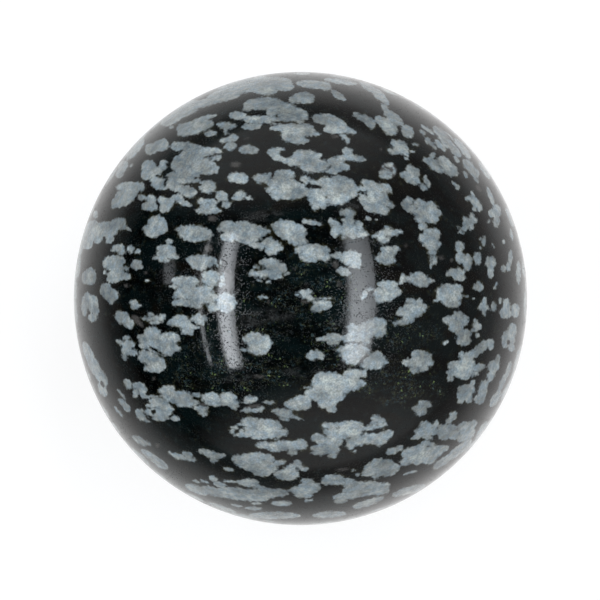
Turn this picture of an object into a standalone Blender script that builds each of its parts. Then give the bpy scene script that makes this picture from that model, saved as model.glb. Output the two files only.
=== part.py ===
"""A polished sphere of snowflake obsidian: one solid stone, with nothing fitted to it.

The sphere stands on a small flat at its lowest point. The middle of that flat is the origin,
so the stone fills the space above z = 0. Units are metres, +Z is up.
"""

import math

import bmesh
import bpy

SPHERE_DIAMETER = 0.050
REST_FLAT_DIAMETER = 0.0056
FACETS_ROUND = 72
FACETS_POLE_TO_POLE = 36

GLASS_BLACK = (0.012, 0.013, 0.014, 1.0)
POLISH_ROUGHNESS = 0.06
GLASS_IOR = 1.49

SPHERE_RADIUS = SPHERE_DIAMETER / 2
# The flat is a slice across the ball, so its size gives its distance from the centre.
CENTRE_HEIGHT = math.sqrt(SPHERE_RADIUS**2 - (REST_FLAT_DIAMETER / 2) ** 2)


def clear_scene():
    for old in list(bpy.data.objects):
        bpy.data.objects.remove(old)


def polished_obsidian():
    """Black volcanic glass, without the pale flakes, which are only colour."""
    material = bpy.data.materials.new("polished_obsidian")
    material.use_nodes = True
    shader = material.node_tree.nodes["Principled BSDF"]
    shader.inputs["Base Color"].default_value = GLASS_BLACK
    shader.inputs["Roughness"].default_value = POLISH_ROUGHNESS
    shader.inputs["Metallic"].default_value = 0.0
    shader.inputs["IOR"].default_value = GLASS_IOR
    return material


def stone_mesh():
    """The ball with its rest flat, raised so that the flat lies on z = 0."""
    shape = bmesh.new()
    bmesh.ops.create_uvsphere(
        shape, u_segments=FACETS_ROUND, v_segments=FACETS_POLE_TO_POLE, radius=SPHERE_RADIUS
    )
    cut = bmesh.ops.bisect_plane(
        shape,
        geom=[*shape.verts, *shape.edges, *shape.faces],
        plane_co=(0, 0, -CENTRE_HEIGHT),
        plane_no=(0, 0, -1),
        clear_outer=True,
    )
    flat_edge = [part for part in cut["geom_cut"] if isinstance(part, bmesh.types.BMEdge)]
    bmesh.ops.edgenet_fill(shape, edges=flat_edge)
    bmesh.ops.recalc_face_normals(shape, faces=shape.faces)
    bmesh.ops.translate(shape, verts=shape.verts, vec=(0, 0, CENTRE_HEIGHT))
    mesh = bpy.data.meshes.new("obsidian_sphere")
    shape.to_mesh(mesh)
    shape.free()
    return mesh


def add_sphere():
    mesh = stone_mesh()
    mesh.shade_smooth()
    # The edge of the rest flat is the one crease on the stone.
    mesh.set_sharp_from_angle(angle=math.radians(5.5))
    mesh.materials.append(polished_obsidian())
    sphere = bpy.data.objects.new("obsidian_sphere", mesh)
    bpy.context.scene.collection.objects.link(sphere)
    return sphere


clear_scene()
add_sphere()
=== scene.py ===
"""A polished sphere of snowflake obsidian on a plain white table, seen from almost straight above.

The stone is one piece: black volcanic glass full of pale grey spherulites, the snowflakes.
Units are metres unless a name or a comment says otherwise, and +Z is up.
"""

import math

import bmesh
import bpy
import numpy as np
from mathutils import Matrix, Vector


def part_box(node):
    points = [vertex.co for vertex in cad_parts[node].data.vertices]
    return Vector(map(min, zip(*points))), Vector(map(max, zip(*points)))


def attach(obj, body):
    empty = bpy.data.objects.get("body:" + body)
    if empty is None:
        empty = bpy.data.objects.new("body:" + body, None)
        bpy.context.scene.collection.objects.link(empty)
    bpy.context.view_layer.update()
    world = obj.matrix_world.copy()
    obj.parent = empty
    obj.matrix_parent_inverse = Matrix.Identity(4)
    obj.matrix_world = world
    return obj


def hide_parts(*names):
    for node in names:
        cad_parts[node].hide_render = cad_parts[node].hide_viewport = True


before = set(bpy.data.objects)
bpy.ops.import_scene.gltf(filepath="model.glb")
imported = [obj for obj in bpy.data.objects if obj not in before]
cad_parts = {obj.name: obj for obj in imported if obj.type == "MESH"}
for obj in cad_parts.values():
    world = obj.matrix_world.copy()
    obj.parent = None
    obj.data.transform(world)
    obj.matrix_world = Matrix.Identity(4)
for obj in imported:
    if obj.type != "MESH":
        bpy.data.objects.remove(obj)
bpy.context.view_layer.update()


# The view
# The photo looks down on the stone through a long lens, so the outline is a circle all round.
# The picture is 600 pixels square, and the stone's middle and outline in it set the lens.
PICTURE_WIDTH = 600
STONE_MIDDLE_ACROSS = 300
STONE_MIDDLE_DOWN = 298
STONE_OUTLINE_RADIUS = 226.7
CAMERA_ELEVATION = math.radians(87)
CAMERA_DISTANCE = 0.70
SENSOR_WIDTH_MM = 36.0
NEAREST_SEEN = 0.01

lowest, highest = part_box("obsidian_sphere")
stone_radius = (highest.x - lowest.x) / 2
stone_centre = Vector((0, 0, highest.z - stone_radius))

towards_camera = Vector((0, -math.cos(CAMERA_ELEVATION), math.sin(CAMERA_ELEVATION)))
picture_right = Vector((1, 0, 0))
picture_up = towards_camera.cross(picture_right)
camera_place = stone_centre + CAMERA_DISTANCE * towards_camera

# A sphere's outline is the cone of rays that touch it, so its radius gives the pixels per unit
# of tangent.
outline_tangent = stone_radius / math.sqrt(CAMERA_DISTANCE**2 - stone_radius**2)
pixels_per_tangent = STONE_OUTLINE_RADIUS / outline_tangent

camera_data = bpy.data.cameras.new("photo_view")
camera_data.sensor_width = SENSOR_WIDTH_MM
camera_data.lens = pixels_per_tangent * SENSOR_WIDTH_MM / PICTURE_WIDTH
camera_data.clip_start = NEAREST_SEEN
# The middle of a pixel is half a pixel on from its number.
camera_data.shift_x = -(STONE_MIDDLE_ACROSS + 0.5 - PICTURE_WIDTH / 2) / PICTURE_WIDTH
camera_data.shift_y = (STONE_MIDDLE_DOWN + 0.5 - PICTURE_WIDTH / 2) / PICTURE_WIDTH
camera = bpy.data.objects.new("photo_view", camera_data)
camera_axes = Matrix((picture_right, picture_up, towards_camera)).transposed()
camera.matrix_world = Matrix.Translation(camera_place) @ camera_axes.to_4x4()
bpy.context.scene.collection.objects.link(camera)
bpy.context.scene.camera = camera


# The stone
# A ball of black volcanic glass in which cristobalite has grown as pale, lobed snowflakes.
# It is sawn, ground round and polished, so that the cut flakes lie flush with the glass.
# It stands loose on a small flat at its lowest point, as the CAD solid does.
GLASS_IOR = 1.49
GLASS_ROUGHNESS = 0.05
PIT_ROUGHNESS = 0.33
FLAKE_ROUGHNESS = 0.09
GLASS_BLACK = (0.0003, 0.0004, 0.0004, 1)
GLASS_TEAL = (0.0013, 0.0036, 0.0039, 1)
GLASS_BROWN = (0.0028, 0.0023, 0.0016, 1)
DUST_OLIVE = (0.030, 0.032, 0.018, 1)
DUST_TEAL = (0.016, 0.029, 0.033, 1)
OLIVE_FRINGE = (0.018, 0.017, 0.007, 1)
SPECK_OLIVE = (0.130, 0.180, 0.066, 1)
SPECK_SILVER = (0.070, 0.115, 0.125, 1)
FAINT_GREY = (0.085, 0.080, 0.076, 1)
HAZE_GREY = (0.027, 0.028, 0.028, 1)
FLAKE_BLUE_GREY = (0.186, 0.233, 0.261, 1)
FLAKE_WARM_GREY = (0.271, 0.292, 0.281, 1)
FLAKE_PALE = (0.39, 0.41, 0.375, 1)
# How much of its own colour a faint flake shows through the glass, and a heart in its flake.
FAINT_SHARE = 0.65
HEART_SHARE = 0.58
# Mottling of the flakes: cells per millimetre, detail, and how much paler or darker it makes them.
FLAKE_TONES = [(0.36, 1.0, 0.30), (1.6, 2.0, 0.21), (5.0, 2.0, 0.28)]
FLAKE_TONE_ROUGHNESS = 0.6
# The edge of a flake: its scallops, its raggedness, its softness, and how far it is drawn in.
SCALLOP_MM = 0.32
RAGGED_MM = 0.20
SOFT_EDGE_MM = 0.15
SHRUNK_MM = 0.05
WAVE_HEIGHT = 0.000003

# Flakes of the side that the photo shows, read off it. Each entry is one lobe of a flake:
# pixels across and down to its middle, its width and height in pixels, and its tilt in degrees,
# anticlockwise. Lobes that overlap are one flake.
TOP_EDGE_LOBES = [
    (258, 84, 68, 15, 5), (228, 93, 48, 14, 17), (206, 102, 26, 9, 16), (188, 108, 26, 14, 28),
    (174, 117, 28, 11, 34), (164, 121, 10, 6, 40), (284, 86, 20, 9, 0), (266, 91, 22, 8, 0),
    (313, 84, 36, 9, -4), (325, 87, 12, 6, -10), (340, 81, 34, 6, -8), (368, 87, 20, 7, -32),
    (379, 95, 18, 9, -42), (385, 101, 10, 6, -50), (338, 95, 18, 7, -33), (303, 97, 22, 12, 0),
    (294, 99, 12, 8, 0), (310, 99, 8, 8, 0), (262, 103, 38, 13, 4), (284, 109, 36, 15, -16),
    (293, 115, 28, 13, -4), (260, 119, 32, 9, 2), (247, 107, 10, 7, 20), (247, 118, 9, 6, 10),
    (302, 112, 12, 6, -30), (304, 117, 8, 4, 0), (299, 121, 8, 3, 0), (278, 120, 24, 8, 0),
    (237, 115, 17, 9, 0), (251, 126, 20, 7, 3), (226, 125, 20, 7, -6), (225, 130, 5, 8, 0),
    (206, 117, 22, 5, 14), (197, 125, 34, 12, 8), (190, 131, 28, 8, 10), (210, 133, 13, 6, 10),
    (182, 129, 12, 13, 20), (171, 127, 6, 3, 20), (384, 107, 10, 6, -40), (393, 117, 25, 10, -38),
]
UPPER_LEFT_LOBES = [
    (135, 149, 28, 8, 50), (122, 167, 16, 9, 60), (119, 174, 8, 8, 60), (131, 165, 5, 3, 40),
    (150, 148, 12, 11, 30), (160, 145, 18, 12, 15), (151, 151, 11, 6, 25), (163, 141, 8, 6, 0),
    (176, 146, 12, 10, 0), (184, 145, 20, 8, 0), (192, 148, 26, 10, -8), (210, 150, 24, 7, -3),
    (195, 155, 34, 12, 0), (182, 163, 24, 20, 20), (200, 165, 34, 18, -12), (211, 168, 16, 11, -10),
    (186, 176, 26, 14, 0), (174, 178, 20, 14, 0), (194, 179, 13, 6, 8), (216, 157, 11, 6, 0),
    (177, 187, 20, 9, -15), (188, 191, 18, 12, -15), (148, 166, 14, 14, 0), (146, 174, 12, 12, 0),
    (155, 170, 14, 14, 0), (163, 161, 8, 5, 0), (162, 166, 9, 8, 0), (157, 181, 14, 15, 0),
    (161, 187, 14, 6, 0), (167, 183, 9, 10, 0), (129, 186, 28, 10, 3), (140, 186, 10, 9, 0),
    (126, 194, 25, 14, 20), (122, 200, 24, 13, 20), (114, 205, 9, 5, 45), (142, 197, 9, 7, 0),
    (151, 199, 9, 11, 0), (149, 206, 17, 10, 0), (162, 200, 10, 9, 0), (166, 204, 14, 12, 0),
    (163, 209, 10, 7, 0), (171, 199, 8, 6, 0), (177, 197, 13, 7, 0), (184, 203, 15, 6, -20),
    (120, 223, 12, 13, 0), (127, 228, 10, 4, -35), (115, 224, 10, 12, 0), (106, 229, 24, 17, 5),
    (97, 236, 11, 15, 0), (108, 238, 11, 11, 0), (90, 234, 12, 24, 80), (92, 226, 14, 12, 40),
    (95, 214, 5, 8, 0), (86, 243, 12, 14, 70), (156, 221, 18, 12, 0), (158, 227, 20, 15, 0),
    (152, 233, 16, 9, -8), (147, 228, 10, 9, 0), (156, 217, 6, 5, 0), (169, 241, 8, 5, -10),
]
UPPER_MIDDLE_LOBES = [
    (227, 139, 17, 6, 12), (233, 137, 10, 8, 0), (230, 146, 13, 9, 0), (248, 149, 21, 10, -5),
    (237, 177, 22, 11, 0), (241, 179, 14, 8, -10), (261, 178, 17, 10, 0), (269, 174, 5, 4, 30),
    (273, 151, 13, 8, 0), (275, 156, 15, 8, -25), (279, 149, 12, 4, 0), (288, 161, 24, 7, -20),
    (297, 154, 10, 9, 0), (285, 127, 32, 8, 3), (296, 130, 34, 12, 0), (292, 136, 24, 12, 0),
    (305, 129, 18, 12, 0), (312, 133, 16, 5, -8), (298, 140, 22, 8, 0), (326, 119, 27, 12, -4),
    (316, 117, 8, 6, 0), (335, 124, 28, 15, -28), (332, 129, 18, 9, 0), (349, 130, 16, 6, -20),
    (344, 137, 10, 5, -30), (347, 141, 5, 6, 0), (299, 159, 22, 12, 0), (309, 154, 26, 9, -6),
    (307, 161, 38, 12, -8), (313, 168, 26, 9, 0), (322, 165, 12, 10, 0), (335, 162, 18, 10, -10),
    (333, 170, 15, 8, 5), (343, 166, 14, 8, -5), (347, 151, 12, 9, 0), (345, 157, 18, 7, 0),
    (357, 158, 18, 6, -10), (305, 179, 12, 8, -15), (313, 182, 9, 5, -20), (325, 182, 17, 11, -10),
    (284, 174, 22, 11, 0), (284, 184, 36, 15, -4), (294, 191, 26, 14, -5), (277, 194, 14, 12, 0),
    (269, 189, 9, 6, 0), (288, 196, 24, 7, 0), (300, 189, 10, 12, -50), (342, 181, 24, 12, -14),
    (347, 188, 24, 16, -20), (331, 190, 22, 14, 0), (315, 193, 24, 11, 0), (318, 200, 20, 12, 0),
    (315, 206, 8, 8, 0), (322, 205, 9, 8, 0), (338, 198, 26, 13, 8), (351, 192, 16, 9, 0),
    (207, 186, 18, 14, 0), (221, 196, 13, 11, 0), (240, 194, 11, 9, 0), (237, 198, 13, 5, 0),
    (247, 197, 10, 4, -10), (202, 201, 12, 7, 0), (212, 202, 9, 8, 0), (208, 210, 28, 8, 0),
    (226, 204, 10, 7, 0), (207, 206, 14, 5, 0), (271, 112, 12, 8, 0), (336, 437, 18, 5, 0),
]
UPPER_RIGHT_LOBES = [
    (355, 114, 6, 6, -50), (364, 118, 17, 8, -18), (370, 123, 12, 9, -50), (380, 120, 13, 9, -25),
    (388, 126, 22, 13, -40), (388, 132, 6, 6, 0), (407, 131, 15, 12, -50), (394, 143, 10, 7, -20),
    (401, 147, 17, 13, -45), (392, 151, 12, 6, -20), (405, 153, 8, 5, -40), (412, 151, 5, 3, 0),
    (406, 158, 6, 3, -30), (415, 144, 7, 3, -10), (427, 129, 17, 4, -35), (422, 132, 8, 4, -45),
    (427, 140, 8, 6, -45), (432, 145, 11, 4, -42), (438, 131, 15, 8, -45), (446, 139, 22, 12, -50),
    (454, 149, 20, 8, -52), (440, 145, 17, 6, -47), (462, 148, 26, 7, -52), (456, 159, 8, 5, -50),
    (468, 165, 16, 9, -50), (474, 172, 13, 9, -55), (476, 179, 9, 4, -60), (484, 170, 20, 6, -58),
    (465, 174, 8, 4, -60), (444, 162, 17, 11, -45), (450, 169, 17, 12, -35), (453, 173, 10, 7, 0),
    (432, 155, 6, 8, -20), (427, 160, 11, 6, -15), (433, 164, 13, 10, -35), (438, 169, 11, 6, -30),
    (455, 184, 10, 4, -35), (457, 188, 4, 3, 0), (409, 168, 8, 8, 0), (416, 171, 7, 8, 0),
    (411, 175, 16, 14, 0), (413, 180, 14, 8, -10), (403, 175, 9, 6, -30), (425, 179, 5, 9, 10),
    (428, 184, 5, 7, 0), (423, 187, 8, 6, -30), (387, 165, 13, 6, 15), (386, 171, 14, 6, 0),
    (385, 176, 14, 6, -5), (393, 170, 5, 8, 0), (367, 182, 15, 7, 0), (368, 188, 20, 7, 5),
    (379, 187, 24, 9, -5), (387, 188, 12, 7, -40), (376, 196, 24, 12, 0), (364, 197, 14, 8, 10),
    (372, 202, 26, 12, -5), (387, 203, 17, 7, -28), (376, 208, 26, 10, -5), (383, 211, 10, 8, -10),
    (408, 200, 9, 8, 0), (405, 204, 10, 9, -40), (410, 208, 10, 9, -20), (419, 203, 14, 10, -20),
    (430, 206, 15, 11, -15), (426, 213, 26, 17, 0), (437, 212, 10, 8, -10), (421, 218, 14, 9, 0),
    (432, 219, 14, 8, 0), (422, 226, 9, 8, 0), (472, 194, 4, 9, 20), (468, 198, 7, 6, -25),
    (475, 202, 13, 8, -50), (479, 207, 6, 9, 0), (474, 208, 5, 6, 0), (490, 196, 21, 5, -70),
    (496, 211, 9, 15, 0), (491, 213, 7, 9, 0), (496, 221, 7, 13, 0), (488, 221, 3, 5, 0),
]
LEFT_LOBES = [
    (118, 247, 13, 8, 0), (121, 252, 8, 7, 0), (113, 250, 6, 4, 0), (130, 248, 8, 7, 0),
    (131, 252, 4, 5, 0), (137, 251, 6, 5, 0), (114, 261, 22, 13, 0), (105, 263, 7, 10, 0),
    (116, 268, 18, 8, 0), (126, 268, 5, 3, 0), (115, 274, 18, 9, 0), (113, 279, 15, 7, 0),
    (104, 272, 4, 4, 0), (121, 275, 8, 10, 0), (127, 276, 7, 8, 0), (136, 264, 12, 11, 0),
    (139, 267, 8, 4, 0), (147, 280, 6, 2, 0), (165, 248, 19, 8, 0), (166, 253, 20, 10, 0),
    (159, 257, 14, 5, 0), (173, 256, 12, 5, -12), (164, 260, 11, 5, 0), (90, 276, 12, 19, 0),
    (85, 277, 8, 14, 0), (87, 297, 7, 11, 0), (92, 303, 12, 18, 0), (95, 309, 8, 12, 0),
    (92, 317, 10, 9, 0), (84, 305, 7, 22, 0), (105, 289, 12, 14, -20), (110, 294, 17, 14, -25),
    (111, 301, 6, 6, 0), (133, 302, 9, 6, 0), (134, 306, 9, 7, 0), (139, 305, 4, 2, 0),
    (121, 314, 14, 8, -10), (124, 319, 18, 11, -35), (130, 324, 8, 9, 0), (117, 319, 10, 3, -50),
    (150, 314, 6, 5, 0), (146, 318, 11, 4, 0), (155, 318, 18, 6, 0), (162, 316, 7, 5, 0),
    (155, 322, 13, 4, 0), (180, 318, 16, 8, 0), (174, 322, 15, 8, 0), (184, 323, 20, 13, -30),
    (187, 331, 13, 8, -10), (193, 327, 13, 4, 0), (199, 318, 16, 8, 0), (200, 322, 9, 6, 0),
    (198, 315, 6, 5, 0), (126, 337, 7, 5, 0), (120, 342, 10, 5, -25), (128, 344, 13, 9, 0),
    (126, 350, 12, 9, -20), (133, 352, 8, 7, 0), (124, 356, 5, 9, 10), (152, 331, 17, 9, 0),
    (143, 336, 15, 6, 8), (158, 339, 42, 12, 0), (170, 336, 18, 9, 0), (147, 345, 18, 8, 0),
    (163, 347, 34, 13, -3), (166, 353, 14, 6, 0), (147, 357, 20, 12, 0), (155, 361, 22, 13, -18),
    (153, 368, 20, 9, 0), (160, 366, 12, 8, 0), (143, 353, 8, 8, 0), (88, 353, 26, 9, -68),
    (94, 366, 26, 11, -62), (101, 377, 20, 10, -60), (102, 389, 16, 8, -65), (193, 232, 33, 15, 0),
    (195, 237, 27, 9, 0), (210, 233, 6, 6, 0), (181, 229, 13, 7, 0), (199, 260, 28, 12, -3),
    (199, 265, 18, 10, 0), (208, 262, 10, 9, 0), (214, 261, 11, 5, -45), (210, 275, 17, 11, 0),
    (210, 281, 15, 11, 0), (176, 280, 11, 6, 0), (186, 281, 26, 12, 0), (177, 286, 18, 4, 0),
    (188, 292, 28, 14, 0), (205, 289, 14, 10, 0), (176, 296, 7, 6, 0), (178, 302, 15, 8, 0),
    (190, 302, 24, 8, 0), (203, 297, 30, 13, 0), (213, 307, 12, 10, 0), (197, 305, 12, 5, 0),
]
MIDDLE_LOBES = [
    (227, 226, 17, 13, 0), (243, 228, 24, 15, 0), (255, 231, 30, 13, -6), (228, 236, 18, 11, 0),
    (246, 238, 24, 12, -5), (257, 245, 17, 7, -15), (219, 229, 5, 3, 0), (269, 243, 16, 13, 0),
    (276, 246, 14, 9, -20), (270, 251, 13, 8, 0), (284, 226, 26, 15, 0), (290, 233, 32, 15, -8),
    (296, 239, 21, 12, -10), (299, 229, 14, 11, -30), (298, 250, 7, 8, 0), (268, 262, 20, 9, 0),
    (277, 267, 21, 12, -12), (266, 273, 26, 8, 0), (253, 273, 12, 6, 0), (275, 276, 15, 6, 0),
    (255, 267, 5, 3, 0), (287, 273, 5, 3, 0), (259, 280, 4, 3, 0), (268, 281, 5, 3, 0),
    (348, 212, 14, 9, 0), (341, 212, 5, 4, 0), (348, 220, 13, 10, 0), (333, 222, 12, 7, -30),
    (336, 229, 13, 11, 0), (334, 234, 8, 6, 0), (347, 229, 18, 15, 0), (358, 225, 9, 10, 0),
    (353, 235, 9, 8, 0), (343, 236, 5, 6, 0), (361, 233, 14, 8, -10), (311, 222, 21, 6, -8),
    (312, 247, 23, 9, 0), (302, 249, 13, 6, 0), (320, 250, 18, 11, 0), (312, 255, 28, 12, 0),
    (325, 257, 9, 9, 0), (309, 260, 12, 4, 0), (337, 255, 12, 7, 0), (351, 257, 21, 15, 0),
    (355, 263, 12, 12, 0), (346, 259, 14, 10, -20), (343, 271, 15, 9, -12), (387, 228, 6, 7, 0),
    (384, 233, 14, 8, 0), (393, 232, 12, 7, 0), (376, 235, 11, 4, 0), (383, 239, 12, 8, 0),
    (400, 231, 6, 4, 0), (386, 249, 13, 8, 0), (396, 248, 8, 7, 0), (387, 254, 17, 9, 0),
    (379, 258, 9, 6, 0), (387, 260, 19, 9, 0), (402, 278, 6, 11, -20), (387, 284, 21, 9, 0),
    (386, 292, 27, 14, 0), (397, 291, 8, 6, 0), (384, 298, 20, 7, 0), (379, 301, 7, 4, 0),
    (369, 289, 7, 5, 0), (364, 293, 6, 8, 0), (362, 297, 5, 4, 0), (305, 292, 15, 7, 0),
    (297, 294, 5, 3, 0), (308, 297, 15, 6, -15), (325, 298, 12, 2, 0), (322, 303, 18, 8, 0),
    (316, 308, 11, 8, 0), (327, 307, 11, 4, 25), (254, 336, 17, 9, 0), (246, 339, 9, 6, 0),
    (264, 338, 12, 8, 0), (259, 343, 26, 13, 0), (252, 349, 13, 8, 0), (259, 350, 17, 9, 0),
    (243, 349, 6, 3, 0), (263, 297, 10, 3, -8), (226, 302, 20, 22, 0), (222, 277, 6, 9, 0),
    (221, 284, 6, 7, 0), (220, 263, 3, 8, 0), (368, 218, 6, 5, 0), (376, 219, 3, 2, 0),
    (333, 337, 16, 9, 0),
    (324, 338, 16, 6, 8), (332, 342, 13, 6, 0), (348, 338, 16, 8, 0), (351, 327, 9, 9, 0),
    (357, 332, 19, 14, 0), (361, 335, 20, 13, 0), (365, 341, 9, 7, 0), (377, 323, 19, 13, 0),
    (368, 325, 14, 9, 25), (378, 331, 15, 12, 0), (368, 330, 20, 15, 0), (354, 349, 30, 11, 0),
    (341, 350, 12, 6, 0), (353, 354, 27, 16, 0), (352, 360, 16, 9, 0), (376, 356, 15, 11, 0),
    (374, 361, 25, 13, 0), (367, 365, 14, 7, 0), (382, 362, 13, 5, 0), (377, 367, 12, 4, 0),
    (315, 354, 17, 9, 0), (310, 357, 8, 5, 0), (320, 357, 6, 5, 0),
]
RIGHT_LOBES = [
    (431, 233, 19, 12, 0), (428, 238, 21, 12, 0), (432, 244, 18, 12, 0), (432, 252, 9, 8, 0),
    (430, 262, 3, 12, 0), (434, 260, 6, 8, 0), (417, 276, 17, 10, 0), (410, 279, 10, 7, 0),
    (421, 281, 17, 13, 0), (430, 280, 8, 4, 0), (446, 287, 13, 9, 0), (456, 289, 13, 11, 0),
    (440, 291, 11, 9, 0), (449, 296, 26, 14, 0), (452, 303, 17, 9, 0), (435, 300, 5, 3, 0),
    (459, 246, 10, 12, 0), (460, 257, 11, 12, 0), (467, 262, 10, 18, 0), (456, 272, 18, 10, 0),
    (459, 277, 13, 8, -10), (448, 274, 6, 5, 0), (477, 258, 8, 14, 0), (490, 262, 11, 14, 0),
    (490, 271, 7, 14, 0), (510, 256, 5, 14, 0), (508, 266, 5, 10, 0), (503, 268, 5, 8, 0),
    (518, 272, 5, 24, 0), (478, 287, 11, 9, 0), (478, 283, 5, 6, 0), (495, 285, 3, 8, -20),
    (466, 296, 4, 3, 0), (473, 298, 4, 3, 0), (484, 301, 6, 10, 0), (483, 307, 11, 9, 0),
    (484, 313, 4, 6, 0), (493, 306, 6, 11, 0), (500, 300, 4, 7, 0), (506, 305, 8, 15, 0),
    (505, 313, 13, 11, 0), (515, 310, 9, 15, 0), (503, 241, 4, 5, 0), (493, 245, 2, 5, 30),
    (483, 242, 5, 8, -15), (480, 238, 3, 4, 0), (484, 236, 3, 3, 0), (480, 248, 3, 3, 0),
    (460, 230, 4, 6, -20), (457, 227, 2, 3, 0), (463, 233, 3, 3, 0), (511, 234, 3, 14, 10),
    (471, 215, 5, 6, 0), (465, 219, 5, 7, 30), (473, 220, 9, 7, 0), (467, 223, 11, 9, 0),
    (464, 228, 6, 7, 0), (471, 226, 6, 7, 0), (410, 300, 9, 6, 0), (419, 302, 9, 9, 0),
    (415, 307, 25, 11, 0), (402, 311, 15, 9, 15), (409, 315, 16, 9, 0), (417, 312, 12, 7, 0),
    (396, 323, 6, 5, 0), (403, 321, 11, 8, 0), (410, 319, 8, 6, 0), (418, 354, 15, 10, 0),
    (427, 356, 9, 9, 0), (408, 362, 12, 8, 0), (420, 362, 23, 12, 0), (429, 362, 9, 7, 0),
    (414, 369, 10, 8, 0), (423, 368, 9, 7, 0), (424, 403, 14, 7, 0), (419, 408, 15, 8, 0),
    (421, 412, 12, 7, 10), (428, 405, 7, 5, 0), (445, 342, 7, 4, 25), (458, 314, 11, 8, 0),
    (449, 319, 14, 8, 10), (457, 321, 21, 12, 0), (455, 328, 14, 9, 0), (465, 317, 6, 6, 0),
    (475, 321, 5, 6, 0), (477, 326, 10, 7, 0), (474, 330, 7, 5, 0), (463, 333, 17, 9, 0),
    (463, 340, 16, 11, 0), (477, 335, 4, 5, 0), (512, 330, 9, 16, 0), (508, 338, 14, 17, 0),
    (511, 347, 7, 9, 0), (504, 344, 6, 8, 0), (487, 342, 13, 7, 15), (490, 345, 7, 11, 0),
    (481, 347, 13, 9, 25), (474, 353, 18, 9, 30), (461, 355, 5, 9, 0), (467, 357, 14, 10, 25),
    (455, 365, 16, 9, 0), (465, 364, 20, 13, 10), (478, 367, 14, 8, 15), (476, 373, 4, 5, 0),
    (463, 372, 22, 12, 0), (452, 372, 12, 8, 0), (450, 378, 8, 6, 20), (465, 377, 10, 5, 0),
    (497, 359, 5, 12, -15), (493, 366, 13, 12, 50), (491, 375, 7, 13, -15), (472, 383, 5, 9, -20),
    (466, 389, 18, 11, 0), (464, 395, 16, 11, 0), (460, 401, 7, 5, 0), (468, 400, 7, 6, 0),
    (484, 384, 8, 10, -20), (482, 391, 10, 12, -20), (479, 399, 12, 10, 20), (487, 375, 2, 4, 0),
    (508, 369, 18, 5, 72), (502, 382, 18, 6, 68), (495, 398, 20, 8, 58),
]
LOWER_LEFT_LOBES = [
    (126, 381, 7, 6, 0), (128, 385, 7, 8, 20), (138, 385, 13, 8, 0), (142, 390, 9, 10, 0),
    (135, 393, 7, 9, 0), (144, 396, 8, 4, 0), (151, 396, 14, 3, 0), (121, 394, 13, 3, -50),
    (122, 402, 11, 6, -45), (126, 407, 10, 7, -50), (118, 411, 15, 3, -50), (139, 411, 9, 6, 0),
    (141, 416, 12, 8, -35), (147, 420, 7, 5, -20), (155, 401, 13, 9, 0), (151, 405, 12, 5, 0),
    (162, 404, 16, 12, -30), (168, 408, 12, 7, -20), (160, 412, 24, 11, 0), (160, 418, 18, 6, 0),
    (148, 411, 8, 6, 0), (175, 418, 9, 6, -15), (168, 388, 13, 7, 0), (163, 391, 12, 6, -20),
    (172, 396, 24, 13, -20), (184, 396, 18, 11, -15), (183, 403, 18, 8, -8), (192, 400, 12, 7, -15),
    (193, 403, 11, 4, 0), (196, 395, 10, 6, -15), (211, 396, 17, 9, 0), (205, 398, 8, 5, 0),
    (216, 401, 24, 10, 0), (228, 397, 17, 12, 0), (231, 403, 13, 8, 0), (234, 406, 7, 7, 0),
    (200, 408, 15, 6, 0), (203, 412, 9, 8, -20), (250, 399, 15, 8, 0), (244, 402, 9, 3, 0),
    (248, 410, 16, 5, 0), (259, 409, 12, 5, 18), (268, 402, 13, 4, 0), (139, 440, 18, 7, -33),
    (147, 443, 9, 4, -25), (152, 457, 28, 8, -35), (161, 464, 16, 8, -28), (178, 456, 17, 6, -15),
    (187, 454, 12, 7, -15), (190, 459, 12, 4, -10), (169, 452, 4, 3, -40), (204, 451, 14, 6, -8),
    (214, 455, 18, 8, -8), (213, 460, 8, 5, 0), (222, 455, 7, 4, 0), (228, 469, 11, 4, -12),
    (213, 478, 10, 6, -15), (219, 484, 14, 6, -15), (230, 481, 16, 3, -3), (196, 481, 8, 3, -20),
    (204, 481, 9, 3, -20), (248, 482, 22, 8, 0), (256, 486, 18, 5, -10), (196, 489, 26, 8, -22),
    (213, 491, 28, 9, -18), (236, 493, 40, 13, -6), (264, 493, 34, 11, 0), (278, 492, 20, 9, -4),
    (252, 498, 34, 6, -4), (281, 503, 21, 6, 0), (256, 503, 12, 3, 0), (253, 508, 18, 4, -3),
    (236, 505, 12, 3, -12), (274, 515, 52, 8, 0), (222, 507, 30, 4, -20),
]
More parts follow.
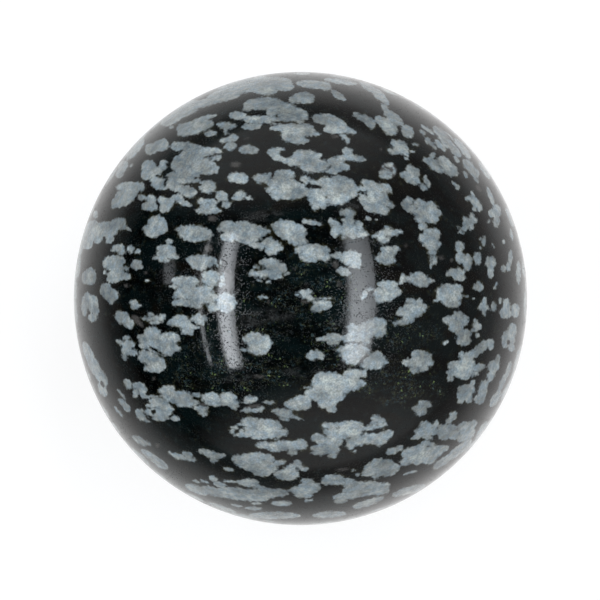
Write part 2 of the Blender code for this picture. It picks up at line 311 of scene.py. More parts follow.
LOWER_MIDDLE_LOBES = [
    (302, 399, 17, 9, 0), (296, 404, 26, 12, 0), (306, 404, 10, 12, 0), (281, 410, 19, 5, 0),
    (284, 414, 20, 8, -8), (284, 419, 8, 4, 0), (297, 417, 12, 3, -18), (249, 421, 17, 10, 0),
    (264, 424, 24, 12, 0), (274, 425, 15, 10, -15), (258, 430, 38, 13, 0), (272, 433, 28, 9, 0),
    (282, 431, 11, 6, 0), (245, 434, 24, 6, 0), (262, 437, 22, 5, 0), (234, 427, 10, 4, -10),
    (232, 431, 6, 5, 0), (241, 424, 10, 3, -10), (264, 444, 18, 8, 8), (277, 445, 26, 11, 0),
    (292, 445, 22, 11, 0), (301, 444, 12, 11, 0), (292, 452, 10, 6, 0), (276, 449, 12, 4, 0),
    (240, 458, 18, 9, 0), (255, 457, 26, 11, -3), (267, 458, 15, 9, -15), (248, 465, 28, 11, -15),
    (262, 467, 28, 15, 0), (277, 463, 17, 6, 12), (262, 473, 18, 6, 0), (271, 469, 10, 8, 0),
    (297, 463, 9, 8, 0), (290, 468, 14, 9, 30), (286, 474, 26, 12, 0), (303, 468, 11, 5, -12),
    (307, 480, 13, 6, 0), (309, 487, 23, 13, 0), (301, 490, 24, 9, 0), (303, 495, 18, 5, 0),
    (292, 489, 12, 4, 15), (308, 500, 10, 3, 8), (322, 376, 16, 10, 0), (331, 377, 20, 11, 0),
    (353, 373, 22, 9, 0), (363, 373, 8, 7, 0), (322, 383, 23, 15, 0), (338, 381, 26, 14, 0),
    (352, 382, 20, 12, 0), (361, 383, 10, 6, 0), (352, 387, 14, 6, 0), (340, 389, 20, 11, 0),
    (322, 390, 22, 12, 0), (309, 392, 13, 7, 8), (306, 387, 7, 2, 18), (317, 396, 20, 10, 0),
    (331, 396, 24, 13, 0), (340, 397, 8, 6, 0), (327, 403, 20, 11, 0), (331, 409, 11, 6, 0),
    (350, 424, 25, 9, 0), (331, 425, 21, 7, 0), (357, 428, 15, 9, 0), (342, 432, 40, 11, 0),
    (318, 437, 15, 10, 0), (330, 442, 28, 11, 0), (318, 448, 17, 9, 0), (328, 449, 24, 10, 0),
    (332, 455, 10, 6, 0), (316, 453, 14, 4, -8), (350, 444, 10, 11, 0), (358, 440, 20, 11, 0),
    (372, 438, 24, 12, 0), (385, 435, 18, 10, 20), (380, 442, 12, 7, 20), (367, 428, 11, 5, 0),
    (376, 418, 11, 7, 0), (377, 422, 14, 6, 0), (382, 425, 10, 4, 15), (373, 426, 9, 5, 0),
    (384, 420, 4, 4, 0), (391, 451, 12, 7, 20), (398, 448, 11, 6, 30), (354, 451, 4, 2, 0),
    (353, 470, 4, 2, 0), (357, 474, 6, 3, 20), (379, 461, 16, 7, 0), (372, 466, 18, 9, 18),
    (380, 468, 28, 12, 8), (368, 472, 14, 8, 20), (376, 476, 9, 4, 20), (392, 467, 16, 10, 0),
    (388, 472, 16, 8, 12), (389, 462, 9, 7, 0), (333, 477, 21, 7, 0), (327, 481, 14, 8, 0),
    (339, 482, 14, 6, 0), (348, 481, 11, 8, 0), (355, 485, 24, 10, 0), (371, 485, 22, 9, 0),
    (384, 486, 13, 8, 15), (351, 490, 18, 8, 0), (366, 491, 30, 9, 6), (380, 491, 18, 8, 8),
    (344, 496, 24, 8, 5), (340, 501, 14, 5, 5), (356, 496, 16, 4, 10), (365, 503, 26, 7, 14),
    (376, 499, 16, 5, 15), (357, 506, 10, 5, 0), (329, 514, 34, 7, 4), (408, 490, 36, 8, 17),
    (410, 472, 15, 3, 16),
]
LOWER_RIGHT_LOBES = [
    (453, 415, 8, 9, 0), (449, 420, 9, 6, 35), (425, 425, 13, 9, 0), (435, 424, 6, 10, -20),
    (440, 427, 7, 6, 40), (427, 431, 28, 9, 0), (417, 436, 14, 6, 20), (428, 437, 10, 5, 0),
    (449, 428, 18, 9, 5), (443, 434, 13, 12, 0), (453, 434, 13, 11, 0), (464, 427, 15, 12, 20),
    (472, 424, 12, 8, 30), (466, 434, 20, 12, 35), (460, 439, 7, 5, 30), (426, 443, 12, 6, 0),
    (432, 445, 6, 6, 0), (416, 448, 22, 7, 12), (440, 448, 18, 8, 5), (420, 452, 36, 11, 6),
    (405, 453, 10, 8, 30), (405, 461, 12, 8, 25), (418, 459, 22, 9, 5), (430, 456, 18, 11, 25),
    (416, 463, 7, 3, 0), (429, 461, 11, 6, 10), (437, 453, 12, 7, 20), (455, 452, 16, 9, 42),
    (443, 461, 26, 8, 34), (463, 446, 22, 9, 45), (481, 430, 22, 6, 60),
]
# Flakes that lie just under the surface.
FAINT_LOBES = [
    (212, 218, 10, 5, 0), (208, 248, 9, 7, 0), (227, 280, 13, 24, 0), (246, 138, 5, 2, 0),
    (235, 164, 12, 5, 0),
    (126, 285, 8, 3, 0), (135, 317, 8, 4, -20), (138, 322, 14, 4, -35), (441, 257, 6, 4, 0),
    (335, 264, 5, 8, 0), (339, 283, 3, 7, 20), (305, 301, 8, 3, 0), (257, 376, 11, 3, 0),
    (203, 404, 8, 3, 0), (380, 149, 3, 3, 0), (398, 216, 3, 2, 0), (405, 245, 3, 5, 0),
    (294, 268, 3, 3, 0), (451, 260, 3, 4, 0), (478, 188, 4, 8, 30), (146, 272, 4, 2, 0),
    (268, 302, 3, 3, 0), (306, 284, 4, 2, 0), (153, 378, 3, 4, 0), (157, 445, 5, 4, 0),
    (342, 469, 12, 2, 5), (252, 406, 16, 3, 10), (388, 170, 16, 16, 0), (334, 136, 8, 3, 0),
]
# Paler hearts, where a flake is cut through the middle from which it grew.
PALE_HEARTS = [
    (286, 188, 15, 10, 0), (283, 111, 14, 8, -20), (288, 132, 14, 6, 0), (301, 130, 10, 5, 0),
    (198, 168, 11, 7, 0), (196, 125, 12, 5, 5), (182, 144, 8, 4, 0), (207, 184, 8, 5, 0),
    (181, 179, 9, 6, 0), (331, 127, 9, 6, 0), (345, 186, 11, 8, 0), (336, 196, 11, 8, 0),
    (318, 197, 10, 6, 0), (401, 147, 7, 6, 0), (391, 149, 7, 4, -20), (413, 173, 7, 7, 0),
    (373, 199, 11, 8, 0), (386, 125, 9, 6, -30), (409, 133, 6, 5, -40), (446, 167, 9, 6, -45),
    (325, 182, 9, 6, 0), (245, 231, 14, 4, 5), (290, 236, 9, 6, 0), (271, 243, 7, 6, 0),
    (98, 229, 12, 6, -45), (195, 232, 13, 8, 0), (192, 297, 6, 3, 0), (262, 275, 11, 4, 0),
    (426, 213, 8, 8, 0), (432, 243, 5, 9, 20), (351, 235, 7, 5, 0), (362, 234, 9, 5, 0),
    (452, 299, 8, 10, 0), (313, 250, 14, 11, 0), (420, 279, 7, 6, 0), (380, 238, 7, 4, 0),
    (412, 307, 10, 7, 0), (320, 303, 9, 5, 20), (384, 292, 11, 8, 0), (174, 335, 9, 5, 0),
    (160, 338, 9, 4, 0), (259, 346, 15, 5, 10), (154, 364, 8, 6, 0), (171, 395, 8, 5, -40),
    (210, 398, 9, 5, 0), (226, 400, 15, 7, 0), (297, 403, 10, 7, 0), (201, 323, 5, 3, 0),
    (328, 389, 11, 9, 0), (456, 322, 7, 7, 0), (464, 337, 8, 6, 0), (462, 366, 13, 8, 0),
    (469, 357, 5, 5, 0), (418, 361, 13, 11, 0), (353, 351, 10, 7, 0), (364, 358, 5, 8, -30),
    (262, 427, 10, 8, 0), (261, 465, 11, 9, 0), (247, 465, 11, 4, -20), (272, 444, 9, 6, 0),
    (286, 473, 9, 7, 0), (266, 496, 10, 6, 0), (340, 431, 15, 3, 8), (353, 434, 7, 9, 0),
    (333, 441, 10, 8, 0), (366, 488, 10, 7, 20), (420, 456, 22, 5, 8), (368, 502, 15, 4, 18),
    (407, 493, 14, 6, 15), (327, 380, 16, 8, 0), (351, 382, 10, 6, 0), (386, 254, 7, 7, 0),
    (255, 118, 10, 5, 0), (148, 149, 8, 5, 40), (265, 90, 16, 6, 0), (89, 276, 6, 10, 0),
]
# Holes in flakes and thin dark lines where two of them meet.
DARK_GAPS = [
    (247, 95, 15, 5, 0), (261, 113, 9, 4, 5), (287, 153, 11, 8, 0), (157, 163, 4, 7, 0),
    (161, 176, 10, 2, -12), (165, 181, 2, 9, -10), (310, 185, 10, 3, -10), (362, 193, 10, 2, -12),
    (266, 236, 9, 2, 20), (277, 240, 16, 2, -33), (196, 324, 12, 2, -22), (215, 289, 6, 4, 0),
    (157, 351, 16, 2, -30), (243, 345, 7, 5, 0), (356, 342, 14, 2, 0), (364, 357, 12, 2, 50),
    (313, 405, 4, 10, 0), (236, 431, 4, 3, 0), (240, 427, 9, 2, -35), (344, 443, 3, 9, -10),
    (372, 431, 12, 2, 4), (265, 440, 30, 2, 1), (268, 452, 18, 2, -5), (388, 168, 8, 2, -30),
    (153, 411, 5, 4, -20), (148, 418, 7, 2, -35), (355, 499, 14, 2, 15), (508, 342, 2, 4, 0),
    (104, 240, 3, 7, 0), (102, 384, 3, 7, 30), (225, 267, 12, 1, -22), (453, 142, 22, 1, -50),
    (400, 317, 7, 2, 10), (433, 255, 4, 1, 0), (284, 122, 20, 2, 0), (196, 398, 8, 2, -10),
    (209, 156, 10, 2, 8), (207, 177, 24, 2, 2), (195, 185, 11, 2, 8), (220, 203, 4, 4, 0),
]
# Dark flecks in the middle of flakes.
DARK_FLECKS = [
    (245, 235, 12, 3, 0), (342, 435, 13, 3, 6), (332, 443, 6, 3, 0), (366, 487, 6, 3, 20),
    (314, 251, 5, 3, 0), (426, 212, 2, 2, 0), (469, 357, 2, 2, 0), (190, 291, 5, 4, -30),
    (509, 342, 3, 4, 0), (348, 484, 4, 3, 0), (383, 467, 3, 5, 0), (353, 352, 3, 1, 0),
]

PHOTO_LOBES = [
    *TOP_EDGE_LOBES,
    *UPPER_LEFT_LOBES,
    *UPPER_MIDDLE_LOBES,
    *UPPER_RIGHT_LOBES,
    *LEFT_LOBES,
    *MIDDLE_LOBES,
    *RIGHT_LOBES,
    *LOWER_LEFT_LOBES,
    *LOWER_MIDDLE_LOBES,
    *LOWER_RIGHT_LOBES,
]

# Patches where the glass is full of fine specks, in the same form.
SPECKLED_PATCHES = [
    (270, 312, 76, 56, 0), (318, 318, 70, 50, 0), (212, 352, 60, 60, 0), (312, 275, 50, 40, 0),
    (408, 330, 76, 40, 0), (395, 385, 70, 50, 0), (265, 372, 80, 46, 0), (180, 372, 44, 44, 0),
    (232, 384, 50, 30, 0), (335, 352, 60, 30, 0), (425, 385, 40, 40, 0), (345, 290, 30, 60, 0),
]
# Parts of those patches where olive specks crowd together.
CROWDED_PATCHES = [
    (405, 382, 22, 28, 0), (414, 392, 16, 12, 0), (402, 349, 14, 16, 0), (363, 391, 20, 24, 0),
    (393, 322, 16, 10, 0), (226, 361, 14, 20, 0), (246, 384, 16, 16, 0), (312, 344, 26, 10, 0),
    (330, 327, 10, 22, 0), (178, 371, 27, 5, 65), (255, 330, 22, 10, 0), (425, 336, 18, 8, 0),
]
# Grey haze under the surface.
HAZY_PATCHES = [
    (262, 316, 44, 13, 4), (250, 322, 20, 10, 0), (285, 313, 26, 10, 0), (338, 322, 16, 20, 20),
    (305, 372, 44, 8, 0), (240, 378, 30, 8, 0), (345, 205, 30, 10, 0), (262, 215, 40, 8, 5),
]

# A lobe's depth falls off beyond its edge, and is worked out for points up to this far from it.
REACH_PIXELS = 12
# Lobes that overlap run together a little where they meet.
BLEND_MM = 0.11
FAR_OUTSIDE = 1e-16
# How squarely a point faces the camera is 1 in the middle of the picture and 0 at the outline.
# Depths are worked out as if it were never less than this.
LEAST_FACING = 0.2


def facing_camera(points):
    """How squarely each point of the stone faces the camera."""
    return (points - np.array(stone_centre)) @ np.array(towards_camera) / stone_radius


def depth_in_lobe(across, up, width, height, tilt):
    """How far each point lies inside an oval about (0, 0), less than 0 outside it."""
    turned_across = across * math.cos(tilt) + up * math.sin(tilt)
    turned_up = up * math.cos(tilt) - across * math.sin(tilt)
    half_width = width / 2
    half_height = height / 2
    ratio = np.hypot(turned_across / half_width, turned_up / half_height)
    steepness = np.hypot(turned_across / half_width**2, turned_up / half_height**2) + 1e-9
    return np.minimum((1 - ratio) * ratio / steepness, min(half_width, half_height))


def in_picture(points):
    """Where points lie in the picture, in pixels right of and above the stone's middle."""
    from_camera = points - np.array(camera_place)
    ahead = -from_camera @ np.array(towards_camera)
    across = from_camera @ np.array(picture_right) / ahead * pixels_per_tangent
    up = from_camera @ np.array(picture_up) / ahead * pixels_per_tangent
    return across, up


def depth_in_photo_lobes(points, lobes):
    """Depth inside the lobes read off the photo, in millimetres, for points on the side it shows."""
    across, up = in_picture(points)
    # Towards the outline a pixel spans more of the stone one way and not the other, so take the mean.
    facing = np.maximum(facing_camera(points), LEAST_FACING)
    mm_per_pixel = 1000 * stone_radius / STONE_OUTLINE_RADIUS / np.sqrt(facing)
    summed = np.full(len(points), FAR_OUTSIDE)
    for pixels_across, pixels_down, width, height, tilt in lobes:
        lobe_across = across - (pixels_across - STONE_MIDDLE_ACROSS)
        lobe_up = up - (STONE_MIDDLE_DOWN - pixels_down)
        reach = max(width, height) / 2 + REACH_PIXELS
        near = (np.abs(lobe_across) < reach) & (np.abs(lobe_up) < reach)
        inside = depth_in_lobe(
            lobe_across[near], lobe_up[near], width, height, math.radians(tilt)
        )
        summed[near] += np.exp(inside * mm_per_pixel[near] / BLEND_MM)
    return BLEND_MM * np.log(summed)


# The rest of the stone follows the same sizes and shares, scattered by a seeded rule.
HIDDEN_SIDE_FLAKES = 700
SCATTERED_BELOW_FACING = 0.17
FLAKE_WIDTH_MM = 1.75
FLAKE_WIDTH_SPREAD = 0.36
CLOSEST_SHARE = 0.62
# Flakes are wider along the flow bands of the lava, which lie square to this direction.
FLOW_NORMAL = Vector((0.10, 0.97, 0.20)).normalized()
FLOW_STRETCH = 0.35
SCATTER_SEED = 11
# A flake is a body with a ring of buds. Sizes and reaches are shares of the flake's own size.
FLAKE_HEIGHT = (0.62, 0.92)
BODY_WIDTH = 0.86
BODY_HEIGHT = 0.82
BODY_TILT = 0.3
BUDS = (4, 8)
BUD_UNEVENNESS = 0.3
BUD_REACH = (0.26, 0.42)
BUD_WIDTH = (0.24, 0.44)
BUD_HEIGHT = (0.6, 1.0)
BUD_TILT = 0.6
HEART_WIDTH = (0.2, 0.6)
HEART_HEIGHT = (0.4, 0.9)
HEART_OFFSET_MM = 0.1
HEART_TILT = 0.5
# The stone curves away by less than this under the widest flake.
FLAKE_SAG_MM = 0.9


def grown_flake(rng, width):
    """Lobes of one flake about its middle, each (across, up, width, height, tilt)."""
    height = width * rng.uniform(*FLAKE_HEIGHT)
    lobes = [(0, 0, width * BODY_WIDTH, height * BODY_HEIGHT, rng.uniform(-BODY_TILT, BODY_TILT))]
    count = rng.integers(*BUDS)
    start = rng.uniform(0, math.tau)
    for bud in range(count):
        angle = start + math.tau * (bud + rng.uniform(-BUD_UNEVENNESS, BUD_UNEVENNESS)) / count
        reach = rng.uniform(*BUD_REACH)
        bud_width = width * rng.uniform(*BUD_WIDTH)
        across = width * reach * math.cos(angle)
        up = height * reach * math.sin(angle)
        bud_height = bud_width * rng.uniform(*BUD_HEIGHT)
        lobes.append((across, up, bud_width, bud_height, rng.uniform(-BUD_TILT, BUD_TILT)))
    return lobes


def scattered_lobes():
    """Lobes and hearts of the flakes that the photo doesn't show, and of a belt just inside its outline.

    Each is (middle, across, up, lobe), with the lobe laid flat on the stone at the flake's middle.
    """
    rng = np.random.default_rng(SCATTER_SEED)
    lobes = []
    hearts = []
    middles = []
    widths = []
    while len(middles) < HIDDEN_SIDE_FLAKES:
        middle = Vector(rng.normal(size=3)).normalized()
        if middle.dot(towards_camera) > SCATTERED_BELOW_FACING:
            continue
        width = FLAKE_WIDTH_MM * math.exp(rng.normal(0, FLAKE_WIDTH_SPREAD))
        apart = [1000 * stone_radius * (middle - other).length for other in middles]
        closest = [CLOSEST_SHARE * (width + other) / 2 for other in widths]
        if any(gap < least for gap, least in zip(apart, closest)):
            continue
        middles.append(middle)
        widths.append(width)
        across = FLOW_NORMAL.cross(middle)
        stretch = 1 + FLOW_STRETCH * across.length
        across.normalize()
        up = middle.cross(across)
        for lobe in grown_flake(rng, width * stretch):
            lobes.append((middle, across, up, lobe))
        heart_width = width * rng.uniform(*HEART_WIDTH)
        heart_height = heart_width * rng.uniform(*HEART_HEIGHT)
        offset = rng.normal(0, HEART_OFFSET_MM, size=2)
        heart = (*offset, heart_width, heart_height, rng.uniform(-HEART_TILT, HEART_TILT))
        hearts.append((middle, across, up, heart))
    return lobes, hearts


SCATTERED_LOBES, SCATTERED_HEARTS = scattered_lobes()


def depth_in_scattered_lobes(points, lobes):
    """Depth inside the scattered lobes, in millimetres."""
    local = 1000 * (points - np.array(stone_centre))
    summed = np.full(len(points), FAR_OUTSIDE)
    for middle, across, up, (lobe_across, lobe_up, width, height, tilt) in lobes:
        near = np.flatnonzero(local @ np.array(middle) > 1000 * stone_radius - FLAKE_SAG_MM)
        flat_across = local[near] @ np.array(across) - lobe_across
        flat_up = local[near] @ np.array(up) - lobe_up
        inside = depth_in_lobe(flat_across, flat_up, width, height, tilt)
        summed[near] += np.exp(inside / BLEND_MM)
    return BLEND_MM * np.log(summed)


# Where a marking is read off the photo and where it is scattered, by how squarely the stone faces
# the camera. Both hold in a belt near the outline, so that neither ends in a line.
SHOWN_ABOVE_FACING = 0.04
HIDDEN_BELOW_FACING = 0.26
OUTSIDE_MM = -4.0
# A dark fleck in a heart fades out over its edge, between these depths.
FLECK_OUTER_MM = 0.2
FLECK_INNER_MM = 0.1


def values_on(points):
    """How deep points lie in each kind of marking, in millimetres.

    The kinds are flakes, hearts, faint flakes, speckled patches, crowded ones and hazy ones.
    """
    facing = facing_camera(points)
    shown = facing > SHOWN_ABOVE_FACING
    hidden = facing < HIDDEN_BELOW_FACING
    flake, heart, faint, speckled, crowded, hazy = np.full((6, len(points)), OUTSIDE_MM)
    flake[shown] = depth_in_photo_lobes(points[shown], PHOTO_LOBES)
    gaps = depth_in_photo_lobes(points[shown], DARK_GAPS)
    flake[shown] = np.minimum(flake[shown], -gaps)
    heart[shown] = depth_in_photo_lobes(points[shown], PALE_HEARTS)
    flecks = depth_in_photo_lobes(points[shown], DARK_FLECKS)
    kept = np.minimum(heart[shown], -flecks - FLECK_OUTER_MM)
    heart[shown] = kept - np.maximum(flecks + FLECK_INNER_MM, 0)
    faint[shown] = depth_in_photo_lobes(points[shown], FAINT_LOBES)
    speckled[shown] = depth_in_photo_lobes(points[shown], SPECKLED_PATCHES)
    crowded[shown] = depth_in_photo_lobes(points[shown], CROWDED_PATCHES)
    hazy[shown] = depth_in_photo_lobes(points[shown], HAZY_PATCHES)
    scattered = depth_in_scattered_lobes(points[hidden], SCATTERED_LOBES)
    flake[hidden] = np.maximum(flake[hidden], scattered)
    hearts = depth_in_scattered_lobes(points[hidden], SCATTERED_HEARTS)
    heart[hidden] = np.maximum(heart[hidden], hearts)
    return {
        "flake_depth": flake,
        "heart_depth": heart,
        "faint_depth": faint,
        "speckled_depth": speckled,
        "crowded_depth": crowded,
        "hazy_depth": hazy,
    }


# The mesh starts even. Near the edges of flakes a mesh edge is halved where the depth halfway
# along it isn't the mean of its ends, so that thin gaps and notches stay sharp.
EVEN_SUBDIVISIONS = 7
EDGE_ROUNDS = 3
EDGE_ZONE_MM = 0.18
SHOWN_ERROR_MM = 0.016
HIDDEN_ERROR_MM = 0.05


def on_stone(point):
    """The point of the stone's surface on the line from its middle through a point."""
    point = stone_centre + stone_radius * (point - stone_centre).normalized()
    point.z = max(point.z, 0)
    return point


def edges_to_halve(shape):
    """The mesh edges near a flake's edge that are too long to follow it."""
    shape.verts.index_update()
    points = np.array([corner.co for corner in shape.verts])
    ends = np.array([[corner.index for corner in edge.verts] for edge in shape.edges])
    halfway = np.array([on_stone(Vector(point)) for point in points[ends].mean(axis=1)])
    depth = values_on(points)["flake_depth"][ends]
    halfway_depth = values_on(halfway)["flake_depth"]
    error = np.abs(halfway_depth - depth.mean(axis=1))
    nearest = np.minimum(np.abs(depth).min(axis=1), np.abs(halfway_depth))
    allowed = np.where(facing_camera(halfway) > 0, SHOWN_ERROR_MM, HIDDEN_ERROR_MM)
    chosen = (error > allowed) & (nearest < EDGE_ZONE_MM)
    return [edge for edge, wanted in zip(shape.edges, chosen) if wanted]


def stone_mesh():
    """The ball with its rest flat, and points close together where a flake ends."""
    shape = bmesh.new()
    bmesh.ops.create_icosphere(shape, subdivisions=EVEN_SUBDIVISIONS, radius=1)
    for corner in shape.verts:
        corner.co = on_stone(stone_centre + corner.co)
    for _ in range(EDGE_ROUNDS):
        halved = edges_to_halve(shape)
        made = bmesh.ops.subdivide_edges(shape, edges=halved, cuts=1, use_single_edge=True)
        for corner in made["geom_inner"]:
            if isinstance(corner, bmesh.types.BMVert):
                corner.co = on_stone(corner.co)
        bmesh.ops.triangulate(shape, faces=shape.faces, quad_method="SHORT_EDGE")
    mesh = bpy.data.meshes.new("snowflake_obsidian_sphere")
    shape.to_mesh(mesh)
    shape.free()
    return mesh


def mark_flakes(mesh):
    """Stores the markings' depths on the mesh's points, and gives them the directions of a round ball."""
    points = np.empty(len(mesh.vertices) * 3, np.float32)
    mesh.vertices.foreach_get("co", points)
    points = points.reshape(-1, 3).astype(float)
    for name, values in values_on(points).items():
        attribute = mesh.attributes.new(name, "FLOAT", "POINT")
        attribute.data.foreach_set("value", values.astype(np.float32))
    outward = (points - np.array(stone_centre)) / stone_radius
    outward[points[:, 2] <= 0] = (0, 0, -1)
    mesh.shade_smooth()
    mesh.normals_split_custom_set_from_vertices(outward)


class Nodes:
    """Short ways to add nodes to a tree and join them."""

    def __init__(self, tree):
        self.tree = tree

    def add(self, kind, **settings):
        node = self.tree.nodes.new(kind)
        for name, value in settings.items():
            setattr(node, name, value)
        return node

    def put(self, value, socket):
        if isinstance(value, bpy.types.NodeSocket):
            self.tree.links.new(value, socket)
        else:
            socket.default_value = value

    def put_all(self, values, sockets):
        for value, socket in zip(values, sockets):
            self.put(value, socket)

    def math(self, operation, *values):
        node = self.add("ShaderNodeMath", operation=operation)
        self.put_all(values, node.inputs)
        return node.outputs[0]

    def vectors(self, operation, *values):
        node = self.add("ShaderNodeVectorMath", operation=operation)
        self.put_all(values, node.inputs)
        return node.outputs["Value" if operation in ("DISTANCE", "DOT_PRODUCT") else "Vector"]

    def scaled(self, vector, factor):
        node = self.add("ShaderNodeVectorMath", operation="SCALE")
        self.put(vector, node.inputs[0])
        self.put(factor, node.inputs["Scale"])
        return node.outputs["Vector"]

    def parts(self, vector):
        node = self.add("ShaderNodeSeparateXYZ")
        self.put(vector, node.inputs[0])
        return node.outputs

    def ramp(self, value, low, high, out_low=0.0, out_high=1.0):
        node = self.add("ShaderNodeMapRange", interpolation_type="SMOOTHSTEP")
        self.put(value, node.inputs["Value"])
        node.inputs["From Min"].default_value = low
        node.inputs["From Max"].default_value = high
        node.inputs["To Min"].default_value = out_low
        node.inputs["To Max"].default_value = out_high
        return node.outputs["Result"]

    def noise(self, place, per_mm, detail=2.0, roughness=0.5, distortion=0.0, output="Fac"):
        node = self.add("ShaderNodeTexNoise")
        self.put(place, node.inputs["Vector"])
        node.inputs["Scale"].default_value = per_mm
        node.inputs["Detail"].default_value = detail
        node.inputs["Roughness"].default_value = roughness
        node.inputs["Distortion"].default_value = distortion
        return node.outputs[output]

    def cells(self, place, per_mm):
        node = self.add("ShaderNodeTexVoronoi")
        self.put(place, node.inputs["Vector"])
        node.inputs["Scale"].default_value = per_mm
        return node.outputs

    def mix(self, share, first, second):
        node = self.add("ShaderNodeMix", data_type="RGBA")
        self.put(share, node.inputs["Factor"])
        self.put(first, node.inputs["A"])
        self.put(second, node.inputs["B"])
        return node.outputs["Result"]

    def attribute(self, name):
        node = self.add("ShaderNodeAttribute", attribute_name=name)
        return node.outputs["Fac"]


# Textures of the stone: cells per millimetre, then where given the detail, roughness and distortion.
SCALLOPS_PER_MM = 2.3
RAGGED_TEXTURE = (4.5, 2.0, 0.6)
TEAL_TEXTURE = (0.34, 4.0, 0.7)
BROWN_TEXTURE = (0.27, 3.0, 0.6, 0.4)
FRINGE_TEXTURE = (0.7,)
CROWD_TEXTURE = (0.8, 2.0, 0.6)
GRAIN_TEXTURE = (3.2, 3.0, 0.8)
MOTTLED_TEXTURE = (1.1, 3.0, 0.65)
DUST_TONE_TEXTURE = (2.4, 2.0, 0.6)
WARP_TEXTURE = (3.0,)
SPECKS_PER_MM = 2.6
HAZE_TEXTURE = (1.4, 3.0, 0.6)
TINT_TEXTURE = (1.3, 4.0, 0.7)
HEART_TEXTURE = (3.2, 2.0, 0.6)
PIT_CROWD_TEXTURE = (0.9, 2.0, 0.5)
PIT_TEXTURE = (5.0, 2.0, 0.6)
WAVE_TEXTURE = (2.4,)
# How a texture, or a depth in millimetres, turns into a share: where it sets in and where it is full,
# then where given the shares at these two.
FAINT_BAND = (-0.20, 0.20)
TEAL_BAND = (0.42, 0.60)
BROWN_BAND = (0.54, 0.66)
FRINGE_DEPTH_BAND = (-0.34, 0.0)
FRINGE_BAND = (0.48, 0.62)
PATCH_BAND = (-0.8, 1.2)
CROWD_BAND = (0.40, 0.62, 0.10, 1.0)
CROWDED_BAND = (-0.6, 0.5)
MOTTLED_BAND = (0.54, 0.76, 0.0, 0.42)
DUST_BAND = (0.50, 0.70)
DUST_IN_PATCH = (0.0, 1.0, 0.14, 1.0)
DUST_TONE_BAND = (0.44, 0.56)
SPECK_SIZES = (0.40, 1.0, 0.0, 0.42)
SPECK_EDGE = (-0.04, 0.18)
SPECK_STRENGTHS = (0.0, 1.0, 0.15, 1.0)
SPECK_TONE_BAND = (0.35, 0.65)
HAZE_DEPTH_BAND = (-0.5, 0.5)
HAZE_BAND = (0.36, 0.60)
HAZE_GRAIN_BAND = (0.36, 0.60, 0.35, 0.85)
TINT_BAND = (0.36, 0.64)
HEART_BAND = (-0.25, 0.45)
TONE_BAND = (0.25, 0.75)
PIT_BAND = (0.65, 0.52, GLASS_ROUGHNESS, PIT_ROUGHNESS)
FLOW_SQUEEZE = (0.5, 1.0, 1.0)
DENSER_IN_PATCH = 0.06
WARP_MM = (0.5, 0.5, 0.5)
CROWDED_STRENGTH = 0.7
HEART_UNEVENNESS_MM = 1.2
PIT_CROWDING = 0.35


